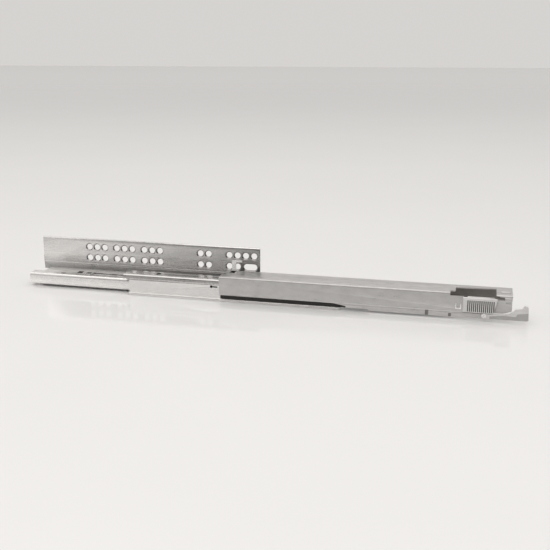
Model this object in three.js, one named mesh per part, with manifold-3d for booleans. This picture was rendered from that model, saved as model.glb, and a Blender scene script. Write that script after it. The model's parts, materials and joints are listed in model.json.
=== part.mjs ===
// Concealed full-extension drawer slide, drawn out to its open position.
// Millimetres. X runs along the slide towards the cabinet's front, Z is up, and the cabinet's side
// wall is the plane Y = 0. The origin is on that wall face, at the first screw hole of the front
// group, halfway between the two rows of holes.

import * as THREE from 'three';
import { mergeVertices } from 'three/addons/utils/BufferGeometryUtils.js';
import Module from 'manifold-3d';

const wasm = await Module();
wasm.setup();

// ---------------------------------------------------------------- driving dimensions

const GAP = 0.3; // clearance between pieces that touch in the real slide
const CENTRE_Y = -29.5; // common centre line of the three nested members

const BRACKET = {
  sheet: 1.5, rear: -215.5, front: 33.5, top: 15, webTop: -19.8, webRear: -208,
  holeRadius: 3.2, sinkRadius: 4.35, sinkDepth: 1.05, holeRow: 6, holePitch: 9, systemPitch: 32,
};
const RAIL = { sheet: 1.5, rear: -215.2, front: 33, top: -18, bottom: -30.3, width: 12 };
const MIDDLE = { sheet: 1.2, rear: -104.5, front: 155.5, top: -11.5, width: 20.8 };
const DRAWER = { sheet: 1.2, rear: 1.7, front: 288, top: -6.35, width: 30, bend: 0.9 };

const LOWER_BALLS = { top: 2.3, side: 1.55 }; // ball radii between cabinet rail and middle member
const UPPER_BALLS = { top: 1.7, side: 1.5 }; // ball radii between middle and drawer members
const CAGE_SHEET = 1.1;

const CATCH_TRAVEL = 40; // soft-close stroke
const CATCH_REAR = -112; // rear face of the soft-close catch while it is parked
const ADJUSTER_TRAVEL = 6; // height adjuster, from its front position to its rear one
const LEVER_PIVOT = { x: 263, z: -26.3, radius: 1.5, hole: 1.8 };

// ---------------------------------------------------------------- materials

function metal(colour, roughness) {
  return new THREE.MeshStandardMaterial({ color: colour, roughness, metalness: 1 });
}

function plastic(colour, roughness) {
  return new THREE.MeshStandardMaterial({ color: colour, roughness, metalness: 0 });
}

const ZINC = metal(0xc4c6c6, 0.38);
const ZINC_DRAWER = metal(0xb0b2b3, 0.42);
const BALL_STEEL = metal(0xd8d9da, 0.12);
const SPRING_STEEL = metal(0x8d8f92, 0.3);
const GREY_PLASTIC = plastic(0xa3a4a4, 0.5);
const LIGHT_PLASTIC = plastic(0xc2c3c2, 0.45);
const DARK_PLASTIC = plastic(0x4a4b4d, 0.55);

// ---------------------------------------------------------------- solids

function solidFrom(geometry) {
  const bare = geometry.clone();
  bare.deleteAttribute('normal');
  bare.deleteAttribute('uv');
  const merged = mergeVertices(bare, 1e-4);
  const mesh = new wasm.Mesh({
    numProp: 3,
    vertProperties: Float32Array.from(merged.attributes.position.array),
    triVerts: Uint32Array.from(merged.index.array),
  });
  return new wasm.Manifold(mesh);
}

function geometryFrom(solid) {
  const mesh = solid.getMesh();
  const geometry = new THREE.BufferGeometry();
  geometry.setAttribute('position', new THREE.BufferAttribute(new Float32Array(mesh.vertProperties), 3));
  geometry.setIndex(new THREE.BufferAttribute(new Uint32Array(mesh.triVerts), 1));
  geometry.computeVertexNormals();
  return geometry;
}

const X_AXIS = new THREE.Vector3(1, 0, 0);
const Y_AXIS = new THREE.Vector3(0, 1, 0);
const Z_AXIS = new THREE.Vector3(0, 0, 1);

// Extrudes an outline whose first coordinate runs along u and whose second runs along v.
function extrude(outline, u, v, from, to) {
  const shape = new THREE.Shape(outline.map(([a, b]) => new THREE.Vector2(a, b)));
  const geometry = new THREE.ExtrudeGeometry(shape, { depth: to - from, bevelEnabled: false, steps: 1 });
  const normal = new THREE.Vector3().crossVectors(u, v);
  geometry.translate(0, 0, from);
  geometry.applyMatrix4(new THREE.Matrix4().makeBasis(u, v, normal));
  return solidFrom(geometry);
}

function extrudeAlongX(outline, x0, x1) {
  return extrude(outline, Y_AXIS, Z_AXIS, x0, x1);
}

function extrudeAlongZ(outline, z0, z1) {
  return extrude(outline, X_AXIS, Y_AXIS, z0, z1);
}

// The outline is in X and Z. The normal of that plane is -Y, so the limits change sign.
function extrudeAlongY(outline, y0, y1) {
  return extrude(outline, X_AXIS, Z_AXIS, -y1, -y0);
}

function box([x0, x1], [y0, y1], [z0, z1]) {
  const geometry = new THREE.BoxGeometry(x1 - x0, y1 - y0, z1 - z0);
  geometry.translate((x0 + x1) / 2, (y0 + y1) / 2, (z0 + z1) / 2);
  return solidFrom(geometry);
}

// A cylinder from one point to another that lies straight along an axis from it.
function rod(start, end, radius, sides = 16) {
  const a = new THREE.Vector3(...start);
  const b = new THREE.Vector3(...end);
  const geometry = new THREE.CylinderGeometry(radius, radius, a.distanceTo(b), sides);
  const direction = b.clone().sub(a).normalize();
  const turn = new THREE.Quaternion().setFromUnitVectors(Y_AXIS, direction);
  geometry.applyQuaternion(turn);
  geometry.translate(...a.add(b).multiplyScalar(0.5).toArray());
  return solidFrom(geometry);
}

// Plugs the shape of countersunk screw holes and slots through the flange, to be cut out of it.
// They start a little in front of the flange's face, where the cone is a little wider.
const SINK_START = -BRACKET.sheet - 0.1;
const SINK_FLOOR = -BRACKET.sheet + BRACKET.sinkDepth;
const SINK_SLOPE = (BRACKET.sinkRadius - BRACKET.holeRadius) / BRACKET.sinkDepth;
const SINK_MOUTH = BRACKET.holeRadius + SINK_SLOPE * (SINK_FLOOR - SINK_START);

function screwHolePlug(x, z) {
  const sides = 20;
  const depth = SINK_FLOOR - SINK_START;
  const sink = new THREE.CylinderGeometry(BRACKET.holeRadius, SINK_MOUTH, depth, sides);
  sink.translate(x, SINK_START + depth / 2, z);
  return solidFrom(sink).add(rod([x, SINK_START, z], [x, 1, z], BRACKET.holeRadius, sides));
}

function screwSlotPlug(x0, x1, z) {
  const r = BRACKET.holeRadius;
  const stretch = extrudeAlongX([
    [SINK_START, z - SINK_MOUTH], [SINK_FLOOR, z - r], [1, z - r],
    [1, z + r], [SINK_FLOOR, z + r], [SINK_START, z + SINK_MOUTH],
  ], x0, x1);
  return screwHolePlug(x0, z).add(screwHolePlug(x1, z)).add(stretch);
}

// ---------------------------------------------------------------- bent sheet sections

// Rounds the corners of a path. Each corner is [y, z, radius]; the radius is of the sheet's middle.
function filletedPath(path) {
  const points = [new THREE.Vector2(path[0][0], path[0][1])];
  for (let i = 1; i < path.length - 1; i += 1) {
    const corner = new THREE.Vector2(path[i][0], path[i][1]);
    const before = new THREE.Vector2(path[i - 1][0], path[i - 1][1]).sub(corner).normalize();
    const after = new THREE.Vector2(path[i + 1][0], path[i + 1][1]).sub(corner).normalize();
    const half = Math.acos(THREE.MathUtils.clamp(before.dot(after), -1, 1)) / 2;
    const radius = path[i][2];
    const setback = radius / Math.tan(half);
    const bisector = before.clone().add(after).normalize();
    const centre = corner.clone().addScaledVector(bisector, radius / Math.sin(half));
    const first = corner.clone().addScaledVector(before, setback).sub(centre);
    const last = corner.clone().addScaledVector(after, setback).sub(centre);
    const sweep = Math.atan2(first.cross(last), first.dot(last));
    const steps = Math.max(1, Math.ceil(Math.abs(sweep) / THREE.MathUtils.degToRad(30)));
    for (let k = 0; k <= steps; k += 1) {
      const spoke = first.clone().rotateAround(new THREE.Vector2(0, 0), (sweep * k) / steps);
      points.push(centre.clone().add(spoke));
    }
  }
  const end = path[path.length - 1];
  points.push(new THREE.Vector2(end[0], end[1]));
  return points;
}

// The closed outline of a sheet of the given thickness whose middle follows the path.
function sheetOutline(path, thickness) {
  const points = filletedPath(path);
  const left = [];
  const right = [];
  points.forEach((point, i) => {
    const before = points[Math.max(i - 1, 0)];
    const after = points[Math.min(i + 1, points.length - 1)];
    const into = point.clone().sub(before).normalize();
    const out = after.clone().sub(point).normalize();
    const along = into.clone().add(out).normalize();
    const stretch = 1 / Math.max(along.dot(i === 0 ? out : into), 0.5);
    const offset = new THREE.Vector2(-along.y, along.x).multiplyScalar((thickness / 2) * stretch);
    left.push([point.x + offset.x, point.y + offset.y]);
    right.unshift([point.x - offset.x, point.y - offset.y]);
  });
  return [...left, ...right];
}

// ---------------------------------------------------------------- scene graph

const slide = new THREE.Group();
slide.name = 'drawer_slide';

function addAssembly(name, parent = slide) {
  const group = new THREE.Group();
  group.name = name;
  parent.add(group);
  return group;
}

function addPart(group, name, solid, material) {
  const mesh = new THREE.Mesh(geometryFrom(solid), material);
  mesh.name = name;
  group.add(mesh);
}

const cabinetAssembly = addAssembly('cabinet_assembly');
const lowerCageAssembly = addAssembly('lower_cage_assembly');
const middleAssembly = addAssembly('middle_assembly');
const upperCageAssembly = addAssembly('upper_cage_assembly');
const drawerAssembly = addAssembly('drawer_assembly');

// ---------------------------------------------------------------- cabinet bracket

// The flange stands on the cabinet wall. A pressed bead stiffens it above the bend, and the web
// runs under the top of the cabinet rail and turns down inside it.
function bracketSection() {
  const flange = -BRACKET.sheet / 2;
  const web = BRACKET.webTop - BRACKET.sheet / 2;
  const lip = CENTRE_Y - RAIL.width / 2 + RAIL.sheet + GAP + BRACKET.sheet / 2;
  return sheetOutline([
    [flange, BRACKET.top],
    [flange, -12.8, 0.5], [flange - 0.5, -13.5, 0.5], [flange - 0.5, -14.1, 0.5], [flange, -14.8, 0.5],
    [flange, web, 1.6], [lip, web, 1.6], [lip, -27.5],
  ], BRACKET.sheet);
}

// Groups of screw holes, by how many system pitches they stand behind the front group.
const HOLE_GROUPS = [
  { pitches: 5, count: 3 },
  { pitches: 4, count: 3 },
  { pitches: 3, count: 3 },
  { pitches: 1, count: 2 },
  { pitches: 0, count: 4 },
];

function cutScrewHoles(solid) {
  let result = solid;
  for (const { pitches, count } of HOLE_GROUPS) {
    for (let i = 0; i < count; i += 1) {
      const x = i * BRACKET.holePitch - pitches * BRACKET.systemPitch;
      const isSlotted = pitches === 0 && i > 1;
      const rows = isSlotted ? [BRACKET.holeRow] : [BRACKET.holeRow, -BRACKET.holeRow];
      for (const z of rows) {
        result = result.subtract(screwHolePlug(x, z));
      }
    }
  }
  // The last two holes of the front group's lower row are one slot, for adjusting the depth.
  return result.subtract(screwSlotPlug(2 * BRACKET.holePitch + 1, 3 * BRACKET.holePitch, -BRACKET.holeRow));
}

const RIVETS_X = [-179, -145.6, -60, 15];
const RIVET = { y: -28, hole: 1.8, recess: 2.5, bore: 0.8, shank: 1.5, head: 2.2, headHeight: 0.45 };
const CATCH_BLADE = { rear: CATCH_REAR + 4, front: CATCH_REAR + 9.5 };
const CATCH_SLOT = {
  y: -15.1, halfWidth: 1.3, rear: CATCH_BLADE.rear - CATCH_TRAVEL - 2, front: CATCH_BLADE.front + 1.5,
};
const WEB_HOLE = { x: [-169, -163], y: [-17.5, -11] };
const WEB_SPAN_Z = [-22, -19];

let bracket = extrudeAlongX(bracketSection(), BRACKET.rear, BRACKET.front);
bracket = cutScrewHoles(bracket);
// The flange's top front edge is rolled off in the stamping.
bracket = bracket.subtract(extrudeAlongX(
  [[-1.7, 13.5], [-0.75, 15.2], [-1.7, 15.2]], BRACKET.rear - 1, BRACKET.front + 1,
));
bracket = bracket.subtract(box([BRACKET.rear - 1, BRACKET.webRear], [-40, -BRACKET.sheet], [-32, -16]));
bracket = bracket.subtract(box(
  [CATCH_SLOT.rear, CATCH_SLOT.front],
  [CATCH_SLOT.y - CATCH_SLOT.halfWidth, CATCH_SLOT.y + CATCH_SLOT.halfWidth],
  WEB_SPAN_Z,
));
bracket = bracket.subtract(box(WEB_HOLE.x, WEB_HOLE.y, WEB_SPAN_Z));
// The catch's slot widens at its rear end, and a shallow pocket is pressed in behind it.
bracket = bracket.subtract(box([-151, -147.6], [-17, -12.6], WEB_SPAN_Z));
bracket = bracket.subtract(box([-158, -152.4], [-17.2, -13], [BRACKET.webTop - 0.6, WEB_SPAN_Z[1]]));
for (const x of RIVETS_X) {
  bracket = bracket.subtract(rod([x, RIVET.y, WEB_SPAN_Z[0]], [x, RIVET.y, WEB_SPAN_Z[1]], RIVET.hole));
}
addPart(cabinetAssembly, 'cabinet_bracket', bracket, ZINC);

// ---------------------------------------------------------------- cabinet rail

function railSection() {
  const top = RAIL.top - RAIL.sheet / 2;
  const wall = CENTRE_Y - RAIL.width / 2 + RAIL.sheet / 2;
  const bottom = RAIL.bottom + RAIL.sheet / 2;
  return sheetOutline([
    [CENTRE_Y + RAIL.width / 2, top], [wall, top, 1.8], [wall, bottom, 1.6], [wall + 8.75, bottom],
  ], RAIL.sheet);
}

const RAIL_STOP_X = 31;

let rail = extrudeAlongX(railSection(), RAIL.rear, RAIL.front);
for (const x of RIVETS_X) {
  rail = rail.subtract(rod([x, RIVET.y, RAIL.top - 1], [x, RIVET.y, RAIL.top + 1], RIVET.recess));
  rail = rail.subtract(rod([x, RIVET.y, RAIL.top - 2], [x, RIVET.y, RAIL.top + 1], RIVET.hole));
}
rail = rail.subtract(rod(
  [RAIL_STOP_X, CENTRE_Y, RAIL.top - 2], [RAIL_STOP_X, CENTRE_Y, RAIL.top + 1], 1.5,
));
addPart(cabinetAssembly, 'cabinet_rail', rail, ZINC);

// Tubular rivets hold the rail on the bracket's web. Their heads sit just below the rail's top.
function rivetSolid(x) {
  const { bore, shank, head, headHeight } = RIVET;
  const top = RAIL.top - 0.25;
  const tail = BRACKET.webTop - BRACKET.sheet - GAP;
  const profile = [
    [bore, top], [head, top], [head, top - headHeight], [shank, top - headHeight], [shank, tail],
    [head, tail - 0.3], [head, tail - 0.9], [bore, tail - 0.9], [bore, top],
  ];
  const geometry = new THREE.LatheGeometry(profile.map(([r, z]) => new THREE.Vector2(r, z)).reverse(), 16);
  geometry.rotateX(Math.PI / 2);
  geometry.translate(x, RIVET.y, 0);
  return solidFrom(geometry);
}

RIVETS_X.forEach((x, i) => {
  addPart(cabinetAssembly, `rail_rivet_${i + 1}`, rivetSolid(x), ZINC);
});

// ---------------------------------------------------------------- middle member

// One bent sheet: a foot that steps out under the near wall, a ball groove, the top, the far groove
// and a short far wall that clears the bracket's web.
function middleSection() {
  const top = MIDDLE.top - MIDDLE.sheet / 2;
  const near = CENTRE_Y - MIDDLE.width / 2 + MIDDLE.sheet / 2;
  const far = CENTRE_Y + MIDDLE.width / 2 - MIDDLE.sheet / 2;
  return sheetOutline([
    [near - 3.7, -32], [near - 3.7, -30.1, 0.8], [near - 0.5, -30.1, 0.8],
    [near - 0.5, -17, 0.8], [near + 1.2, -15, 1],
    [near - 0.1, top, 1.5], [far + 0.1, top, 1.5], [far - 1.2, -15, 1], [far + 0.5, -17, 0.8],
    [far + 0.5, -18.9],
  ], MIDDLE.sheet);
}

const MIDDLE_REAR_STOP_X = -102.6;
const MIDDLE_FRONT_STOP_X = 153.6;
const BELOW = -34;
const NEAR_SIDE = [-50, -30];

let middle = extrudeAlongX(middleSection(), MIDDLE.rear, MIDDLE.front);
// The wall below the near groove starts later than the top and ends earlier.
middle = middle.subtract(box([MIDDLE.rear - 1, -97.5], NEAR_SIDE, [BELOW, -16.2]));
middle = middle.subtract(box([153.5, MIDDLE.front + 1], NEAR_SIDE, [BELOW, -16.2]));
// The foot's front end tapers away and leaves the wall.
middle = middle.subtract(extrudeAlongZ(
  [[121.9, -44.5], [130.7, -41], [MIDDLE.front + 1, -41], [MIDDLE.front + 1, -44.5]], BELOW, -28,
));
middle = middle.subtract(rod([-68.5, CENTRE_Y, -14], [-68.5, CENTRE_Y, -10], 2.9));
middle = middle.subtract(rod([-7.6, -42, -18.3], [-7.6, -38, -18.3], 1.4));
middle = middle.subtract(box([-6.2, -1], [-42, -38], [-19, -17.7]));
for (const x of [MIDDLE_REAR_STOP_X, MIDDLE_FRONT_STOP_X]) {
  middle = middle.subtract(rod([x, CENTRE_Y, -14], [x, CENTRE_Y, -10], 1.2));
}
addPart(middleAssembly, 'middle_member', middle, ZINC);

// ---------------------------------------------------------------- drawer member

// Far wall, top and near wall. Low on the near wall a joggle steps outwards to the band.
function drawerSection() {
  const top = DRAWER.top - DRAWER.sheet / 2;
  const near = CENTRE_Y - DRAWER.width / 2 + DRAWER.sheet / 2;
  const far = CENTRE_Y + DRAWER.width / 2 - DRAWER.sheet / 2;
  return sheetOutline([
    [far, -18.9], [far, top, DRAWER.bend], [near, top, DRAWER.bend],
    [near, -24.5, 0.6], [near - 0.7, -25.6, 0.6],
    [near - 0.7, -30.1],
  ], DRAWER.sheet);
}

function pivotRod(y0, y1, radius) {
  return rod([LEVER_PIVOT.x, y0, LEVER_PIVOT.z], [LEVER_PIVOT.x, y1, LEVER_PIVOT.z], radius);
}

const DRAWER_REAR_STOP_X = 3.7;
const ACTIVATOR = { x: 116, z: -17.6 };
const NEAR_WALL = [-48, -42];
const BAND_NOTCH = [-46, -44.45];
const WINDOW_TOP = -9.6;

let drawer = extrudeAlongX(drawerSection(), DRAWER.rear, DRAWER.front);
// The near wall is cut back behind the band, which itself starts with a shallow step.
drawer = drawer.subtract(extrudeAlongY(
  [[0, BELOW], [0, -25.1], [119, -25.1], [131.4, -27.2], [131.4, BELOW]], ...NEAR_WALL,
));
drawer = drawer.subtract(box([0, 153.5], NEAR_WALL, [BELOW, -28.6]));
// Two notches are cut in the outer face of the band.
drawer = drawer.subtract(box([208.1, 211.3], BAND_NOTCH, [BELOW, -25]));
drawer = drawer.subtract(box([229.9, 232.6], BAND_NOTCH, [BELOW, -26.6]));
// Slot in the top over the height adjuster. It runs on down into the near wall.
drawer = drawer.subtract(extrudeAlongZ(
  [[235.3, -25.3], [273.2, -21.4], [273.2, -48], [235.3, -48]], WINDOW_TOP, -5,
));
drawer = drawer.subtract(box([230.8, 236], [-48, -37.5], [WINDOW_TOP, -5]));
drawer = drawer.subtract(extrudeAlongY(
  [[272, -10.2], [272, -7], [275, -7.3], [281, -8.1], [281, -10.2]], ...NEAR_WALL,
));
// Window behind the adjuster's ribbed plate, and the open corner that the catch housing fills.
drawer = drawer.subtract(box([243.6, 268.4], NEAR_WALL, [-21.5, -9]));
drawer = drawer.subtract(extrudeAlongY([
  [271.4, BELOW], [271.4, -24.4], [274.9, -9.8], [DRAWER.front + 1, -9.8], [DRAWER.front + 1, BELOW],
], ...NEAR_WALL));
drawer = drawer.subtract(box([277.2, 286.3], [-35.3, -30.7], [-8.5, -5]));
// Hole left by the rear hook, which is lanced from the top and stands at the hole's far edge.
drawer = drawer.subtract(box([7.2, 12.8], [-26.2, -17.7], [-8.5, -5]));
drawer = drawer.add(extrudeAlongY(
  [[7.8, -7], [12.2, -7], [12.2, 2.9], [18.8, 3.1], [18.8, 5], [8.6, 5], [7.8, 4.2]], -17.6, -16.4,
));
// Raised U above the band, rear of the adjuster.
const raisedU = [
  [[236, 237.1], [-22, -17.2]],
  [[240.4, 241.5], [-22, -17.2]],
  [[236, 241.5], [-22, -20.9]],
];
for (const [spanX, spanZ] of raisedU) {
  drawer = drawer.add(box(spanX, [-45, -44], spanZ));
}
drawer = drawer.subtract(rod([DRAWER_REAR_STOP_X, CENTRE_Y, -9], [DRAWER_REAR_STOP_X, CENTRE_Y, -5], 1.2));
drawer = drawer.subtract(rod([ACTIVATOR.x, -17, ACTIVATOR.z], [ACTIVATOR.x, -13, ACTIVATOR.z], 0.9));
drawer = drawer.subtract(pivotRod(-46, -43, LEVER_PIVOT.hole));
addPart(drawerAssembly, 'drawer_member', drawer, ZINC_DRAWER);

// ---------------------------------------------------------------- stops

// A bump block with a peg that snaps into a hole in its member.
function stopSolid(x, halfLength, [z0, z1], [pegLow, pegHigh], pegRadius) {
  const block = box([x - halfLength, x + halfLength], [CENTRE_Y - 4, CENTRE_Y + 4], [z0, z1]);
  return block.add(rod([x, CENTRE_Y, pegLow], [x, CENTRE_Y, pegHigh], pegRadius));
}

addPart(cabinetAssembly, 'rail_front_stop',
  stopSolid(RAIL_STOP_X, 1.9, [-17.7, -13.3], [-19.4, -17], 1.2), DARK_PLASTIC);
addPart(middleAssembly, 'middle_rear_stop',
  stopSolid(MIDDLE_REAR_STOP_X, 1.6, [-17, -13], [-13.5, -11.6], 0.9), DARK_PLASTIC);
addPart(middleAssembly, 'middle_front_stop',
  stopSolid(MIDDLE_FRONT_STOP_X, 1.6, [-11.2, -9.35], [-13, -11], 0.9), DARK_PLASTIC);
addPart(drawerAssembly, 'drawer_rear_stop',
  stopSolid(DRAWER_REAR_STOP_X, 1.6, [-11, -7.9], [-8, -6.5], 0.9), DARK_PLASTIC);

// ---------------------------------------------------------------- ball cages

function ballMesh(name, radius, [x, y, z], group) {
  const mesh = new THREE.Mesh(geometryFrom(solidFrom(new THREE.SphereGeometry(radius, 12, 8))), BALL_STEEL);
  mesh.name = name;
  mesh.position.set(x, y, z);
  group.add(mesh);
}

// Places each ball and cuts its pocket, along Z for a ball on a top plate and along Y on a skirt.
function addCage(group, prefix, cage, balls) {
  let pierced = cage;
  balls.forEach(({ x, y, z, radius, pocketAlongY }, i) => {
    const reach = radius + 2;
    const start = pocketAlongY ? [x, y - reach, z] : [x, y, z - reach];
    const end = pocketAlongY ? [x, y + reach, z] : [x, y, z + reach];
    pierced = pierced.subtract(rod(start, end, radius + GAP));
    ballMesh(`${prefix}_ball_${i + 1}`, radius, [x, y, z], group);
  });
  addPart(group, `${prefix}_cage`, pierced, DARK_PLASTIC);
}

function ballRow(xs, y, z, radius, pocketAlongY) {
  return xs.map((x) => ({ x, y, z, radius, pocketAlongY }));
}

const lowerPlate = RAIL.top + GAP / 2 + LOWER_BALLS.top + 0.2;
const lowerCagePath = [[-22.6, lowerPlate], [-36.2, lowerPlate, 1], [-37.35, -18.2, 1], [-37.35, -26.2]];
const lowerCage = extrudeAlongX(sheetOutline(lowerCagePath, CAGE_SHEET), -94.5, 28.5);
const lowerStations = [-90, -55, -20, 15];
addCage(lowerCageAssembly, 'lower', lowerCage, [
  ...ballRow(lowerStations, CENTRE_Y + 4.7, lowerPlate, LOWER_BALLS.top, false),
  ...ballRow(lowerStations, CENTRE_Y - 4.7, lowerPlate, LOWER_BALLS.top, false),
  ...ballRow([-80, -35, 10], -37.35, -23.5, LOWER_BALLS.side, true),
]);

const upperPlate = -9.5;
const skirtY = -41.7;
const skirtFoot = -29.3;
const upperCagePath = [
  [-17.3, -16.6], [-17.3, upperPlate, 1.6], [skirtY, upperPlate, 1.6], [skirtY, skirtFoot],
];
let upperCage = extrudeAlongX(sheetOutline(upperCagePath, CAGE_SHEET), 5.8, 151.5);
// Below the groove the near skirt runs on past the plate at both ends and closes the gap to the foot.
upperCage = upperCage.add(box(
  [2.4, 153], [skirtY - CAGE_SHEET / 2, skirtY + CAGE_SHEET / 2], [skirtFoot, -19],
));
const upperStations = [20, 60, 100, 140];
const sideStations = [40, 80, 120];
addCage(upperCageAssembly, 'upper', upperCage, [
  ...ballRow(upperStations, CENTRE_Y + 6.5, upperPlate, UPPER_BALLS.top, false),
  ...ballRow(upperStations, CENTRE_Y - 6.5, upperPlate, UPPER_BALLS.top, false),
  ...ballRow(sideStations, CENTRE_Y + 11.9, -15, UPPER_BALLS.side, true),
  ...ballRow(sideStations, CENTRE_Y - 11.9, -15, UPPER_BALLS.side, true),
]);

// ---------------------------------------------------------------- soft-close unit

// A tray under the bracket's web, closed by a cover from below.
const TRAY = { x: [-207, -86], y: [-24.5, -3.6], top: -21.6, bottom: -30.9, wall: 1.4 };

const trayInnerX = [TRAY.x[0] + TRAY.wall, TRAY.x[1] - TRAY.wall];
const trayInnerY = [TRAY.y[0] + TRAY.wall, TRAY.y[1] - TRAY.wall];
let tray = box(TRAY.x, TRAY.y, [TRAY.bottom, TRAY.top]);
tray = tray.subtract(box(trayInnerX, trayInnerY, [TRAY.bottom - 1, TRAY.top - TRAY.wall]));
tray = tray.subtract(box(
  [CATCH_SLOT.rear, CATCH_SLOT.front],
  [CATCH_SLOT.y - CATCH_SLOT.halfWidth, CATCH_SLOT.y + CATCH_SLOT.halfWidth],
  [TRAY.top - 3, TRAY.top + 1],
));
// A boss locates the tray in a square hole of the web.
tray = tray.add(box([WEB_HOLE.x[0] + GAP, WEB_HOLE.x[1] - GAP], [WEB_HOLE.y[0] + GAP, WEB_HOLE.y[1] - GAP],
  [TRAY.top - 1, BRACKET.webTop - 1.1]));
addPart(cabinetAssembly, 'soft_close_housing', tray, DARK_PLASTIC);

addPart(cabinetAssembly, 'soft_close_cover', box(
  [trayInnerX[0] + GAP, trayInnerX[1] - GAP],
  [trayInnerY[0] + GAP, trayInnerY[1] - GAP],
  [TRAY.bottom, TRAY.bottom + 1],
), DARK_PLASTIC);

const MECHANISM_Z = -26.3;
const DAMPER = { y: -10, radius: 2.9, bore: 1.5, rear: -204, front: -153, rodRadius: 1 };

function damperRod(x0, x1, radius) {
  return rod([x0, DAMPER.y, MECHANISM_Z], [x1, DAMPER.y, MECHANISM_Z], radius);
}

let cylinder = damperRod(DAMPER.rear, DAMPER.front, DAMPER.radius);
cylinder = cylinder.subtract(damperRod(DAMPER.rear + 2, DAMPER.front + 1, DAMPER.bore));
addPart(cabinetAssembly, 'damper_cylinder', cylinder, DARK_PLASTIC);

const catchAssembly = addAssembly('soft_close_catch_assembly', cabinetAssembly);
const CATCH_FRONT = CATCH_REAR + 16;
let catchSlider = box([CATCH_REAR, CATCH_FRONT], [-21, -7], [-29.2, -23.6]);
catchSlider = catchSlider.add(box(
  [CATCH_BLADE.rear, CATCH_BLADE.front], [CATCH_SLOT.y - 0.9, CATCH_SLOT.y + 0.9], [-24, -19.3],
));
addPart(catchAssembly, 'catch_slider', catchSlider, GREY_PLASTIC);
addPart(catchAssembly, 'damper_rod',
  damperRod(DAMPER.front - 6, CATCH_REAR - GAP, DAMPER.rodRadius), SPRING_STEEL);

// Tension spring from the tray's rear wall to the catch, drawn out while the catch is parked.
class CoilCurve extends THREE.Curve {
  constructor(start, end, radius, turns) {
    super();
    Object.assign(this, { start, end, radius, turns });
  }

  getPoint(t, target = new THREE.Vector3()) {
    const angle = 2 * Math.PI * this.turns * t;
    return target.set(
      THREE.MathUtils.lerp(this.start.x, this.end.x, t),
      this.start.y + this.radius * Math.cos(angle),
      this.start.z + this.radius * Math.sin(angle),
    );
  }
}

function springSolid(x0, x1, y, z, coilRadius, wireRadius, turns) {
  const curve = new CoilCurve(new THREE.Vector3(x0, y, z), new THREE.Vector3(x1, y, z), coilRadius, turns);
  const section = new THREE.Shape();
  const sides = 5;
  for (let i = 0; i < sides; i += 1) {
    const angle = (2 * Math.PI * i) / sides;
    const point = [wireRadius * Math.cos(angle), wireRadius * Math.sin(angle)];
    if (i === 0) {
      section.moveTo(...point);
    } else {
      section.lineTo(...point);
    }
  }
  section.closePath();
  return solidFrom(new THREE.ExtrudeGeometry(section, { extrudePath: curve, steps: turns * 9 }));
}

addPart(catchAssembly, 'soft_close_spring',
  springSolid(trayInnerX[0] + 1, CATCH_REAR - 1, -18, MECHANISM_Z, 1.7, 0.4, 16), SPRING_STEEL);

// Stud in the drawer member's far wall that meets the catch as the drawer closes.
function activatorRod(y0, y1, radius) {
  return rod([ACTIVATOR.x, y0, ACTIVATOR.z], [ACTIVATOR.x, y1, ACTIVATOR.z], radius, 12);
}

const activator = activatorRod(-18.2, -14, 0.6).add(activatorRod(-14.2, -13.4, 1.5));
addPart(drawerAssembly, 'activator_stud', activator, ZINC);

// ---------------------------------------------------------------- front catch

// Housing at the front end of the drawer member: a near leaf, a leaf under the top and a snap boss.
let housing = extrudeAlongY([
  [271.9, -23.9], [279.6, -23.9], [287.8, -21.3], [287.8, -10.1],
  [281.4, -10.1], [281.2, -11.4], [274.9, -11.4],
], -44.4, -41);
housing = housing.add(box([281.4, 287.6], [-42, -41], [-11, -7.85]));
housing = housing.add(box([276.6, 287.6], [-42, -20], [-9, -7.85]));
housing = housing.add(box([277.5, 286], [-35, -31], [-8, -6.05]));
housing = housing.subtract(box([282.3, 286.8], [-45, -43.6], [-14.2, -12.6]));
addPart(drawerAssembly, 'catch_housing', housing, GREY_PLASTIC);

// Height adjuster: a ribbed plate outside the near wall, joined through the window to a leaf inside.
const adjusterAssembly = addAssembly('height_adjuster_assembly', drawerAssembly);
const RIBS = {
  count: 14, first: 247.6, pitch: 1.83, width: 1, depth: 1.3, bottom: -23.2, top: -12.3,
};
const plateFace = -47.3;
const plateBack = -45.4;

let adjuster = extrudeAlongX([
  [plateBack, -24], [plateFace, -24], [plateFace, -11.4], [plateFace + 0.4, -10.2], [plateBack, -9.8],
], 243, 274.2);
for (let i = 0; i < RIBS.count; i += 1) {
  const x = RIBS.first + i * RIBS.pitch;
  adjuster = adjuster.subtract(box(
    [x - RIBS.width / 2, x + RIBS.width / 2],
    [plateFace - 1, plateFace + RIBS.depth],
    [RIBS.bottom, RIBS.top],
  ));
}
adjuster = adjuster.add(box([243.6 + ADJUSTER_TRAVEL + 0.4, 268], [plateBack - 0.2, -42.8], [-21.2, -12]));
adjuster = adjuster.add(box([247, 270.8], [-43, -41.2], [-21, -10]));
// The plate's front edge leans back towards its foot.
adjuster = adjuster.subtract(extrudeAlongY(
  [[271.2, -24.5], [274.6, -10], [276, -10], [276, -24.5]], -48, -45,
));
addPart(adjusterAssembly, 'height_adjuster', adjuster, GREY_PLASTIC);

// Release lever: a flat lever outside the band, on a pin, with a finger hook at its front end.
const leverAssembly = addAssembly('release_lever_assembly', drawerAssembly);
const leverOutline = [
  [259.8, -26.4], [260.6, -24.9], [263, -24.4], [268, -24.6], [279.8, -24.4], [285.2, -23],
  [288.8, -21.4], [290.9, -18.6], [292.2, -18.1], [297.4, -17.3], [298.2, -15], [299.3, -14.3],
  [301.6, -14.7], [302.6, -16.2],
  [303.3, -28.4], [301, -29.2], [268, -29.3], [262, -28.9], [260.3, -28],
];
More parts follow.
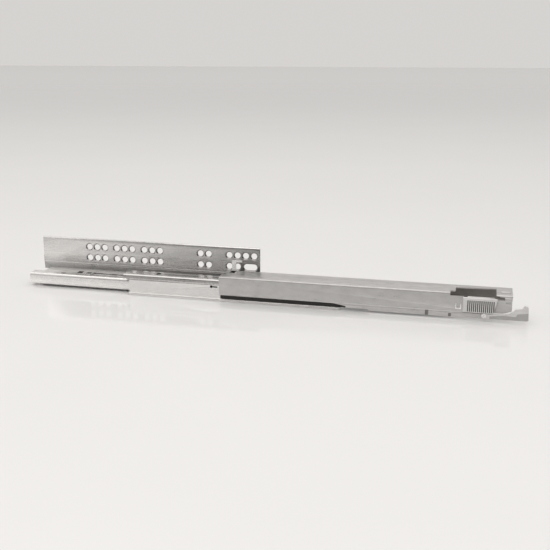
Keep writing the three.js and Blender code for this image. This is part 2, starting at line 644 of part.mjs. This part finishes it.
// Over the band the lever is a thin plate; in front of it the lever has room to be thicker.
let lever = extrudeAlongY(leverOutline, -47.2, -44.9);
lever = lever.subtract(box([255, 276], [-45.6, -44], [-35, -20]));
// Its lower edge is a bar set back from the finger hook, and the hook's ramp is dished.
lever = lever.subtract(extrudeAlongY([
  [268, -31], [268, -26.6], [279.2, -25], [291.9, -25.5], [293, -22.7], [304, -21.3], [304, -31],
], -48, -46.5));
lever = lever.subtract(extrudeAlongY(
  [[281, -24.7], [288.8, -22.3], [290.2, -22.6], [290.6, -25]], -48, -46.8,
));
lever = lever.subtract(pivotRod(-48, -44, LEVER_PIVOT.hole));
addPart(leverAssembly, 'release_lever', lever, LIGHT_PLASTIC);

const pivot = pivotRod(-48.1, -47.5, 2.4).add(pivotRod(-47.6, -43.4, LEVER_PIVOT.radius));
addPart(drawerAssembly, 'lever_pivot_pin', pivot, ZINC);

export default slide;
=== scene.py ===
"""Concealed drawer slide, drawn out, on a pale studio floor."""

import json
import math

import bmesh
import bpy
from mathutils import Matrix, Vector


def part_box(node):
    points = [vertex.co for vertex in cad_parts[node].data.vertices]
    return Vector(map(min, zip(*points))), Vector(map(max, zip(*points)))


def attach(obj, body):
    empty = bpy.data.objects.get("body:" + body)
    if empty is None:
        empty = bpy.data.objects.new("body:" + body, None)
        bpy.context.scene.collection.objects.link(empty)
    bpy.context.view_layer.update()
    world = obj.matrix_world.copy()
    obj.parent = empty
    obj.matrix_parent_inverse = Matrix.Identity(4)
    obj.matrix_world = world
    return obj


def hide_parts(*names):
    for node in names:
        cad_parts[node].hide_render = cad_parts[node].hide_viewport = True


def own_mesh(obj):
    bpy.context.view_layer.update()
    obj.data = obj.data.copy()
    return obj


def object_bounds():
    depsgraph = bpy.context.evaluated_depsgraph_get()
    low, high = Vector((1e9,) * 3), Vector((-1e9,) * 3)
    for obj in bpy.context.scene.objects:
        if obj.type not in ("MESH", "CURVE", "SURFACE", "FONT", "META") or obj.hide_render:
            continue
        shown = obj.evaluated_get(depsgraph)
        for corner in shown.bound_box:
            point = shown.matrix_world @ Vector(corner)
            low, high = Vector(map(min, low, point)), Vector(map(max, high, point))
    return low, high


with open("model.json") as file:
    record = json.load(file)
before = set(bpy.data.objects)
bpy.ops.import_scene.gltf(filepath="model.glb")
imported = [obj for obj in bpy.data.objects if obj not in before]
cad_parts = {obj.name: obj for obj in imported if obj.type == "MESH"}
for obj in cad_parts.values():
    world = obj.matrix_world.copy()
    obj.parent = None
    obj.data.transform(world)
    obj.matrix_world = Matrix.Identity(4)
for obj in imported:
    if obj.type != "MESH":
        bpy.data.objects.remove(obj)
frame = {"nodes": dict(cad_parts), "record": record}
CAD_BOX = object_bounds()
MM = 0.001


# ---------------------------------------------------------------- node helpers

def new_material(name):
    material = bpy.data.materials.new(name)
    material.use_nodes = True
    nodes = material.node_tree.nodes
    return material, nodes["Principled BSDF"], material.node_tree


def add_node(tree, kind, **values):
    """A shader node with the given values in its input sockets."""
    node = tree.nodes.new(kind)
    for socket, value in values.items():
        node.inputs[socket].default_value = value
    return node


def object_coordinates(tree, stretch=(1, 1, 1)):
    """Object coordinates in millimetres. A factor below 1 draws textures out along its axis."""
    coords = tree.nodes.new("ShaderNodeTexCoord")
    mapping = tree.nodes.new("ShaderNodeMapping")
    mapping.inputs["Scale"].default_value = tuple(factor / MM for factor in stretch)
    tree.links.new(coords.outputs["Object"], mapping.inputs["Vector"])
    return mapping.outputs["Vector"]


def noise_output(tree, vector, scale, detail=3.0, roughness=0.55):
    node = add_node(tree, "ShaderNodeTexNoise", Scale=scale, Detail=detail, Roughness=roughness)
    tree.links.new(vector, node.inputs["Vector"])
    return node.outputs["Fac"]


def ramp(tree, factor, stops):
    """A colour ramp. Each stop is (position, grey value or colour)."""
    node = tree.nodes.new("ShaderNodeValToRGB")
    elements = node.color_ramp.elements
    while len(elements) < len(stops):
        elements.new(0.5)
    for element, (position, value) in zip(elements, stops):
        element.position = position
        colour = value if isinstance(value, tuple) else (value, value, value)
        element.color = (*colour, 1)
    tree.links.new(factor, node.inputs["Fac"])
    return node.outputs["Color"]


def mix_colours(tree, mode, amount, first, second):
    """Mixes two colours by a number or by another node's output."""
    node = tree.nodes.new("ShaderNodeMix")
    node.data_type = "RGBA"
    node.blend_type = mode
    if isinstance(amount, float):
        node.inputs["Factor"].default_value = amount
    else:
        tree.links.new(amount, node.inputs["Factor"])
    # A mix node has sockets named A and B for each data type. These two are the colours.
    colour_a, colour_b, colour_result = 6, 7, 2
    tree.links.new(first, node.inputs[colour_a])
    tree.links.new(second, node.inputs[colour_b])
    return node.outputs[colour_result]


def add_bump(tree, shader, layers):
    """Chains bump nodes. Each layer is (height output, strength, distance in millimetres)."""
    normal = None
    for height, strength, distance in layers:
        bump = add_node(tree, "ShaderNodeBump", Strength=strength, Distance=distance * MM)
        tree.links.new(height, bump.inputs["Height"])
        if normal is not None:
            tree.links.new(normal, bump.inputs["Normal"])
        normal = bump.outputs["Normal"]
    tree.links.new(normal, shader.inputs["Normal"])


def axis_ramp(tree, distance, start, end, first, last):
    """A grey value that runs from first to last between two distances in millimetres."""
    span = tree.nodes.new("ShaderNodeMapRange")
    span.inputs["From Min"].default_value = start * MM
    span.inputs["From Max"].default_value = end * MM
    tree.links.new(distance, span.inputs["Value"])
    return ramp(tree, span.outputs["Result"], [(0.0, first), (1.0, last)])


def scaled(tone, factor):
    return tuple(channel * factor for channel in tone)


# ---------------------------------------------------------------- materials

def painted_shade_factor(tree, along_x, along_z):
    """A grey factor that paints shade in. Each axis has its (start, end, first value, last value)."""
    coords = tree.nodes.new("ShaderNodeTexCoord")
    split = tree.nodes.new("ShaderNodeSeparateXYZ")
    tree.links.new(coords.outputs["Object"], split.inputs["Vector"])
    lengthways = axis_ramp(tree, split.outputs["X"], *along_x)
    upwards = axis_ramp(tree, split.outputs["Z"], *along_z)
    return mix_colours(tree, "MULTIPLY", 1.0, lengthways, upwards)


def sheet_metal(name, tone, rough, mottle=0.12, painted_shade_axes=None):
    """Zinc-plated cold-rolled sheet: a grain along X, cloudy plating and faint rubbed streaks."""
    material, shader, tree = new_material(name)
    shader.inputs["Metallic"].default_value = 1.0
    grain = noise_output(tree, object_coordinates(tree, (0.03, 1, 1)), scale=3.5, detail=4)
    clouds = noise_output(
        tree, object_coordinates(tree, (0.5, 1, 1)), scale=0.16, detail=4, roughness=0.6,
    )
    speckle = noise_output(tree, object_coordinates(tree), scale=1.6, roughness=0.6)
    streaks = noise_output(tree, object_coordinates(tree, (0.012, 1, 1)), scale=1.1, roughness=0.6)
    darker = scaled(tone, 1 - mottle)
    lighter = scaled(tone, 1 + mottle * 0.6)
    base = ramp(tree, clouds, [(0.3, darker), (0.7, lighter)])
    marks = ramp(tree, speckle, [(0.35, 0.88), (0.6, 1.0)])
    base = mix_colours(tree, "MULTIPLY", 0.6, base, marks)
    # An optional grey factor paints shade into the colour.
    if painted_shade_axes:
        base = mix_colours(tree, "MULTIPLY", 1.0, base, painted_shade_factor(tree, **painted_shade_axes))
    tree.links.new(base, shader.inputs["Base Color"])
    rubbed = ramp(tree, streaks, [(0.4, rough * 0.9), (0.62, rough * 1.12)])
    cloudy = ramp(tree, clouds, [(0.3, 0.92), (0.7, 1.06)])
    sheen = mix_colours(tree, "MULTIPLY", 1.0, rubbed, cloudy)
    tree.links.new(sheen, shader.inputs["Roughness"])
    add_bump(tree, shader, [(clouds, 0.06, 0.05), (grain, 0.03, 0.006), (speckle, 0.16, 0.012)])
    return material


def shaded_ball_track(name):
    """The groove that the balls run in: painted darker as shade in the groove, with a row of fine roll
    marks.
    """
    material, shader, tree = new_material(name)
    shader.inputs["Metallic"].default_value = 1.0
    streaks = noise_output(tree, object_coordinates(tree, (0.02, 1, 1)), scale=2.0, detail=4)
    dabs = noise_output(tree, object_coordinates(tree, (1.0, 0.3, 0.3)), scale=1.3, detail=2)
    base = ramp(tree, streaks, [(0.3, (0.34, 0.335, 0.33)), (0.7, (0.52, 0.51, 0.5))])
    marks = ramp(tree, dabs, [(0.42, 0.72), (0.55, 1.0)])
    marked = mix_colours(tree, "MULTIPLY", 0.8, base, marks)
    tree.links.new(marked, shader.inputs["Base Color"])
    sheen = ramp(tree, streaks, [(0.3, 0.22), (0.7, 0.36)])
    tree.links.new(sheen, shader.inputs["Roughness"])
    add_bump(tree, shader, [(streaks, 0.2, 0.03), (dabs, 0.15, 0.03)])
    return material


def turned_steel(name, tone, rough):
    """Small rivets, balls and springs: metal with fine turning marks."""
    material, shader, tree = new_material(name)
    shader.inputs["Metallic"].default_value = 1.0
    marks = noise_output(tree, object_coordinates(tree), scale=2.5)
    base = ramp(tree, marks, [(0.3, scaled(tone, 0.82)), (0.7, tone)])
    tree.links.new(base, shader.inputs["Base Color"])
    sheen = ramp(tree, marks, [(0.3, rough * 0.8), (0.7, rough * 1.3)])
    tree.links.new(sheen, shader.inputs["Roughness"])
    add_bump(tree, shader, [(marks, 0.2, 0.02)])
    return material


def moulded_plastic(name, tone, rough, gloss=0.4):
    """Injection-moulded plastic: slight flow variation and a fine eroded texture."""
    material, shader, tree = new_material(name)
    shader.inputs["Specular IOR Level"].default_value = gloss
    flow = noise_output(tree, object_coordinates(tree, (0.6, 1, 1)), scale=0.22)
    texture = noise_output(tree, object_coordinates(tree), scale=5.0, roughness=0.6)
    scuffs = noise_output(
        tree, object_coordinates(tree, (0.25, 1, 1.4)), scale=0.9, detail=4, roughness=0.65,
    )
    base = ramp(tree, flow, [(0.3, scaled(tone, 0.93)), (0.7, scaled(tone, 1.04))])
    rubbed = ramp(tree, scuffs, [(0.3, 0.93), (0.65, 1.0)])
    worn = mix_colours(tree, "MULTIPLY", 0.7, base, rubbed)
    tree.links.new(worn, shader.inputs["Base Color"])
    sheen = ramp(tree, scuffs, [(0.3, rough * 1.15), (0.7, rough * 0.88)])
    tree.links.new(sheen, shader.inputs["Roughness"])
    add_bump(tree, shader, [(texture, 0.2, 0.02), (flow, 0.1, 0.05)])
    return material


def floor_board(name, tone, rough):
    """White studio board with a slight gloss, which mirrors the slide faintly."""
    material, shader, tree = new_material(name)
    fibres = noise_output(tree, object_coordinates(tree), scale=0.8, detail=4)
    sweep = noise_output(tree, object_coordinates(tree), scale=0.004, detail=2)
    base = ramp(tree, sweep, [(0.3, tone * 0.985), (0.7, tone)])
    tree.links.new(base, shader.inputs["Base Color"])
    shader.inputs["Roughness"].default_value = rough
    shader.inputs["Specular IOR Level"].default_value = 0.5
    add_bump(tree, shader, [(fibres, 0.02, 0.02)])
    return material


PLATED = (0.98, 0.968, 0.957)

MATERIALS = {
    "zinc_plated_sheet": sheet_metal("zinc_plated_sheet", PLATED, 0.27, mottle=0.06),
    "drawer_member_sheet": sheet_metal(
        "drawer_member_sheet", (0.67, 0.661, 0.652), 0.32, mottle=0.1,
    ),
    "rivet_steel": turned_steel("rivet_steel", (0.36, 0.36, 0.36), 0.3),
    "ball_steel": turned_steel("ball_steel", (0.75, 0.75, 0.76), 0.12),
    "spring_steel": turned_steel("spring_steel", (0.42, 0.42, 0.43), 0.25),
    "cage_plastic": moulded_plastic("cage_plastic", (0.065, 0.062, 0.06), 0.5, gloss=0.12),
    "catch_grey_plastic": moulded_plastic("catch_grey_plastic", (0.64, 0.631, 0.624), 0.42),
    "lever_light_plastic": moulded_plastic("lever_light_plastic", (0.8, 0.79, 0.785), 0.4),
    "dark_plastic": moulded_plastic("dark_plastic", (0.02, 0.02, 0.021), 0.5, gloss=0.08),
}


# ---------------------------------------------------------------- refined CAD pieces

SLOT_OF = {part["node"]: part["material_slot"] for part in frame["record"]["subparts"]}
BODY_OF = {
    node: body
    for body, members in frame["record"]["behaviour"]["bodies"].items()
    for node in members
}

WELD_DISTANCE = 1e-6  # metres
FLAT_ANGLE = math.radians(1.5)  # faces that meet at less are one face
SHARP_ANGLE = math.radians(32)  # edges that turn by less belong to a smooth bend

# Pieces that aren't listed keep their sharp edges.
BEVELS_MM = {
    "cabinet_bracket": 0.12,
    "cabinet_rail": 0.12,
    "middle_member": 0.1,
    "drawer_member": 0.1,
    "catch_housing": 0.25,
    "height_adjuster": 0.12,
    "release_lever": 0.3,
    "catch_slider": 0.2,
    "soft_close_housing": 0.2,
    "rail_front_stop": 0.2,
    "middle_rear_stop": 0.2,
    "middle_front_stop": 0.2,
    "drawer_rear_stop": 0.2,
}


def is_sharp(edge):
    return edge.is_manifold and edge.calc_face_angle(0) > SHARP_ANGLE


def is_smooth(edge):
    return edge.is_manifold and edge.calc_face_angle(0) < SHARP_ANGLE


def refine(node_name):
    """A copy of a CAD node with its flat faces joined, its sharp edges broken and bends smoothed."""
    source = frame["nodes"][node_name]
    mesh = bpy.data.meshes.new(node_name + "_fine")
    work = bmesh.new()
    work.from_mesh(source.data)
    bmesh.ops.remove_doubles(work, verts=work.verts, dist=WELD_DISTANCE)
    bmesh.ops.dissolve_limit(work, angle_limit=FLAT_ANGLE, verts=work.verts, edges=work.edges)
    if node_name in BEVELS_MM:
        bmesh.ops.bevel(
            work, geom=[edge for edge in work.edges if is_sharp(edge)],
            offset=BEVELS_MM[node_name] * MM, segments=2, profile=0.6,
            affect="EDGES", clamp_overlap=True,
        )
    for face in work.faces:
        face.smooth = True
    for edge in work.edges:
        edge.smooth = is_smooth(edge)
    work.to_mesh(mesh)
    work.free()
    piece = bpy.data.objects.new(node_name + "_fine", mesh)
    bpy.context.scene.collection.objects.link(piece)
    slot_name = SLOT_OF[node_name]
    mesh.materials.append(MATERIALS[slot_name])
    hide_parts(node_name)
    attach(piece, BODY_OF[node_name])
    return piece


fine = {name: refine(name) for name in frame["nodes"]}


# ---------------------------------------------------------------- looks of single surfaces

def paint_faces(piece, material, chosen):
    """Gives the faces for which chosen(centre in millimetres) holds another material."""
    piece.data.materials.append(material)
    index = len(piece.data.materials) - 1
    for face in piece.data.polygons:
        if chosen(face.center / MM):
            face.material_index = index


def region(x=None, y=None, z=None):
    """A test that a face's centre lies between the two limits of each axis that is given."""
    limits = [(axis, span) for axis, span in enumerate((x, y, z)) if span is not None]

    def holds(centre):
        return all(low < centre[axis] < high for axis, (low, high) in limits)

    return holds


def any_of(*tests):
    return lambda centre: any(test(centre) for test in tests)


def up_to(limit):
    return (-math.inf, limit)


def beyond(limit):
    return (limit, math.inf)


def top_of(node_name):
    """The highest point of a CAD node, in millimetres."""
    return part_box(node_name)[1].z / MM


# Places of faces in millimetres. The near side is the one with the smaller Y.
FLANGE_FACE_Y = -1.5
FLANGE_TOP_Z = top_of("cabinet_bracket")
WEB_TOP_Z = -19.8
RAIL_TOP_Z = top_of("cabinet_rail")
MIDDLE_TOP_Z = top_of("middle_member")
MIDDLE_NEAR_Y = -39.9
FOOT_STEP_Z = -30.1
DRAWER_TOP_Z = -6.35
DRAWER_NEAR_Y = -44.5
BAND_JOGGLE_Z = (-25.7, -24.3)
PLATE_FACE_Y = -47.3
LEVER_BAR_Y = -46.5

COUNTERSINKS = region(y=(FLANGE_FACE_Y + 0.05, -0.5), z=(-11, 11))
FLANGE_TOP_EDGE = region(z=beyond(FLANGE_TOP_Z - 0.1))
FLANGE_CHAMFER = region(y=up_to(-0.8), z=(FLANGE_TOP_Z - 1.4, FLANGE_TOP_Z - 0.1))
WEB = region(y=up_to(-2.4), z=(WEB_TOP_Z - 0.6, WEB_TOP_Z + 0.5))
# Walls of the catch's slot, its pocket and the square hole.
WEB_CUTS = region(x=(-170, -100), y=(-18, -10), z=(WEB_TOP_Z - 1.45, WEB_TOP_Z - 0.1))

RIVET_RECESSES = region(y=(-30.7, -25.3), z=(RAIL_TOP_Z - 1.6, RAIL_TOP_Z - 0.1))
RAIL_BEND = region(y=up_to(-34), z=beyond(RAIL_TOP_Z - 1.9))

BALL_GROOVE = region(y=up_to(MIDDLE_NEAR_Y + 2.9), z=(MIDDLE_TOP_Z - 5.5, MIDDLE_TOP_Z - 1.4))
MIDDLE_HOLE = region(x=(-72, -65), y=(-33, -26), z=(MIDDLE_TOP_Z - 1.1, MIDDLE_TOP_Z - 0.1))
# The upper near bend and the step out to the foot.
MIDDLE_BENDS = any_of(
    region(y=up_to(MIDDLE_NEAR_Y + 2.4), z=beyond(MIDDLE_TOP_Z - 1.4)),
    region(y=up_to(MIDDLE_NEAR_Y + 2.4), z=(FOOT_STEP_Z - 1.1, FOOT_STEP_Z + 0.7)),
)

# The upper near bend and the joggle above the band.
DRAWER_BENDS = any_of(
    region(y=up_to(DRAWER_NEAR_Y + 1.3), z=beyond(DRAWER_TOP_Z - 1.55)),
    region(y=up_to(DRAWER_NEAR_Y + 1.3), z=BAND_JOGGLE_Z),
)
DRAWER_INSIDE = region(y=(DRAWER_NEAR_Y + 1.7, -15.4), z=up_to(DRAWER_TOP_Z - 1.05))
HOOK = region(y=beyond(-18), z=beyond(DRAWER_TOP_Z + 0.15))
HOOK_HOLE = region(x=(7, 13), y=(-26.5, -17.5), z=(DRAWER_TOP_Z - 1.15, DRAWER_TOP_Z - 0.05))
BAND_NOTCHES = any_of(*(
    region(x=span, y=(DRAWER_NEAR_Y - 0.6, DRAWER_NEAR_Y + 0.2), z=up_to(-24.9))
    for span in ((208, 211.4), (229.8, 232.7))
))
RAISED_U = region(x=(235.5, 242), y=up_to(DRAWER_NEAR_Y - 0.1), z=(-22.2, -17))

RIB_GROOVES = region(x=(246, 272.2), y=(PLATE_FACE_Y + 0.15, PLATE_FACE_Y + 1.6), z=(-23.3, -12.2))
# The bar along the lever's lower edge, and the narrow face under it.
LEVER_BAR = any_of(
    region(y=(LEVER_BAR_Y - 0.2, LEVER_BAR_Y + 0.2)),
    region(y=up_to(LEVER_BAR_Y + 0.2), z=up_to(-29)),
)

# Cuts and recesses get painted shade, darker than the sheet, so that they look deep in soft light.
grey_shade_sheet = sheet_metal("painted_shade_grey", (0.34, 0.332, 0.325), 0.24)
shaded = sheet_metal("painted_shade_recess", (0.07, 0.067, 0.064), 0.5)
bright = sheet_metal("lighter_zinc_and_painted_highlight", PLATED, 0.28)
# Bends get painted shade, which damps their highlights.
bend = sheet_metal("bend_painted_shade", (0.74, 0.731, 0.722), 0.42)

# The flange's tone is painted darker towards its front end and towards the bead: a painted
# reflection of a darker room there. The sheet itself is even.
bracket = fine["cabinet_bracket"]
bracket.data.materials[0] = sheet_metal(
    "bracket_sheet", (0.97, 0.957, 0.945), 0.27, mottle=0.05,
    painted_shade_axes={"along_x": (-215, 33, 1.0, 0.45), "along_z": (-19, -3, 0.42, 1.0)},
)
# The countersinks and the flange's top edge get painted shade in darker grey.
paint_faces(bracket, grey_shade_sheet, COUNTERSINKS)
paint_faces(bracket, grey_shade_sheet, FLANGE_TOP_EDGE)
# The chamfer gets a painted highlight.
paint_faces(bracket, bright, FLANGE_CHAMFER)
paint_faces(bracket, sheet_metal("web_sheet", PLATED, 0.48), WEB)
# The walls of the web's cuts get painted shade.
paint_faces(bracket, shaded, WEB_CUTS)

middle = fine["middle_member"]
middle.data.materials[0] = sheet_metal("middle_sheet", (0.96, 0.948, 0.938), 0.22, mottle=0.05)
paint_faces(middle, shaded_ball_track("shaded_ball_track"), BALL_GROOVE)
# The hole in the middle member gets painted shade.
paint_faces(middle, shaded, MIDDLE_HOLE)
paint_faces(middle, bend, MIDDLE_BENDS)

drawer = fine["drawer_member"]
drawer_bend = sheet_metal("drawer_bend_painted_shade", (0.58, 0.573, 0.566), 0.45)
# The drawer member's bends get a darker painted shade.
paint_faces(drawer, drawer_bend, DRAWER_BENDS)
# The inside of the drawer member gets painted shade.
paint_faces(drawer, sheet_metal("painted_shade_inside", (0.3, 0.285, 0.27), 0.4), DRAWER_INSIDE)
# The hole at the hook's foot gets painted shade.
paint_faces(drawer, shaded, HOOK_HOLE)
# The notches in the band get painted shade.
paint_faces(drawer, sheet_metal("notch_painted_shade", (0.26, 0.25, 0.24), 0.4), BAND_NOTCHES)
# The hook and the raised U are painted lighter than the rest of the drawer member.
paint_faces(drawer, bright, HOOK)
paint_faces(drawer, bright, RAISED_U)

rail = fine["cabinet_rail"]
# The recesses round the rivets get painted shade.
paint_faces(rail, shaded, RIVET_RECESSES)
paint_faces(rail, bend, RAIL_BEND)
# The lower cage is near black, which stands in for shade under the middle member's hole.
fine["lower_cage"].data.materials[0] = MATERIALS["dark_plastic"]
fine["lever_pivot_pin"].data.materials[0] = bright

adjuster = fine["height_adjuster"]
adjuster.data.materials[0] = moulded_plastic("adjuster_grey", (0.78, 0.77, 0.762), 0.42)
groove_shade = moulded_plastic("groove_shade", (0.22, 0.215, 0.21), 0.5, gloss=0.1)
# The grooves between the ribs get painted shade.
paint_faces(adjuster, groove_shade, RIB_GROOVES)
lever_bar = moulded_plastic("lever_bar", (0.56, 0.553, 0.547), 0.45)
paint_faces(fine["release_lever"], lever_bar, LEVER_BAR)


# ---------------------------------------------------------------- soft-close spring

def shorten_spring():
    """Gives the spring its own copy of its mesh. The spring is held at its rear end."""
    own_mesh(fine["soft_close_spring"])


shorten_spring()


# ---------------------------------------------------------------- studio

WARM = (1.0, 0.975, 0.95)
FLOOR_SIZE = 24
FLOOR_CLEARANCE_MM = 0.2
FLOOR_TONE = 0.86
FLOOR_ROUGHNESS = 0.09

CAMERA_MM = Vector((254.4, -822.85, 214.4))
AIM_MM = Vector((54.6, -21.5, -6.9))
LENS_MM = 54.95
SENSOR_MM = 36

# The room is brightest towards this direction. The stops run from the far side of it to there.
BRIGHT_SIDE = Vector((-0.6, 0.8, 0))
ROOM_STOPS = [(0.0, 0.05), (0.18, 0.07), (0.3, 0.3), (0.6, 0.55), (0.8, 0.62), (1.0, 0.67)]
HORIZON_TONE = 0.67
HORIZON_STOPS = [(0.06, 0.0), (0.14, 1.0)]  # by height, from the pale horizon to the room


def add_floor():
    bpy.ops.mesh.primitive_grid_add(
        x_subdivisions=24, y_subdivisions=24, size=FLOOR_SIZE,
        location=(0, 0, CAD_BOX[0].z - FLOOR_CLEARANCE_MM * MM),
    )
    floor = bpy.context.object
    floor.name = "studio_floor"
    floor.data.materials.append(floor_board("studio_board", FLOOR_TONE, FLOOR_ROUGHNESS))


def add_softbox(name, location, target, size, watts):
    light = bpy.data.lights.new(name, "AREA")
    light.shape = "RECTANGLE"
    light.size, light.size_y = size
    light.energy = watts
    light.color = WARM
    lamp = bpy.data.objects.new(name, light)
    lamp.location = location
    direction = Vector(target) - Vector(location)
    lamp.rotation_euler = direction.to_track_quat("-Z", "Y").to_euler()
    bpy.context.scene.collection.objects.link(lamp)


def set_world():
    """Soft studio surroundings: a pale horizon all round and, above it, a dark room in front."""
    world = bpy.data.worlds.new("studio")
    world.use_nodes = True
    tree = world.node_tree
    background = tree.nodes["Background"]
    coords = tree.nodes.new("ShaderNodeTexCoord")
    towards = tree.nodes.new("ShaderNodeVectorMath")
    towards.operation = "DOT_PRODUCT"
    towards.inputs[1].default_value = BRIGHT_SIDE.normalized()
    tree.links.new(coords.outputs["Generated"], towards.inputs[0])
    spread = tree.nodes.new("ShaderNodeMapRange")
    spread.inputs["From Min"].default_value = -1
    tree.links.new(towards.outputs["Value"], spread.inputs["Value"])
    room = ramp(tree, spread.outputs["Result"], ROOM_STOPS)
    split = tree.nodes.new("ShaderNodeSeparateXYZ")
    tree.links.new(coords.outputs["Generated"], split.inputs["Vector"])
    horizon = tree.nodes.new("ShaderNodeRGB")
    horizon.outputs[0].default_value = (HORIZON_TONE, HORIZON_TONE, HORIZON_TONE, 1)
    above_horizon = ramp(tree, split.outputs["Z"], HORIZON_STOPS)
    shade = mix_colours(tree, "MIX", above_horizon, horizon.outputs[0], room)
    tint = tree.nodes.new("ShaderNodeRGB")
    tint.outputs[0].default_value = (*WARM, 1)
    warm_shade = mix_colours(tree, "MULTIPLY", 1.0, shade, tint.outputs[0])
    tree.links.new(warm_shade, background.inputs["Color"])
    background.inputs["Strength"].default_value = 1.0
    bpy.context.scene.world = world


def add_camera():
    """At the viewing angle: 14 degrees round to the right and 15 degrees above the slide."""
    data = bpy.data.cameras.new("camera")
    data.lens = LENS_MM
    data.sensor_width = SENSOR_MM
    data.clip_start = 0.01
    data.clip_end = 60
    camera = bpy.data.objects.new("camera", data)
    camera.location = CAMERA_MM * MM
    direction = AIM_MM * MM - camera.location
    camera.rotation_euler = direction.to_track_quat("-Z", "Y").to_euler()
    bpy.context.scene.collection.objects.link(camera)
    bpy.context.scene.camera = camera


add_floor()
add_softbox("overhead", location=(0.0, 0.3, 2.2), target=(0.05, 0, 0), size=(5.5, 3.6), watts=56)
add_softbox("left_front", location=(-1.6, -0.9, 0.9), target=(0, 0, 0), size=(0.9, 0.9), watts=1.5)
add_softbox("front_top", location=(0.3, -1.9, 1.9), target=(0, 0, 0), size=(2.6, 1.9), watts=17)
set_world()
add_camera()
bpy.context.scene.view_settings.view_transform = "Standard"
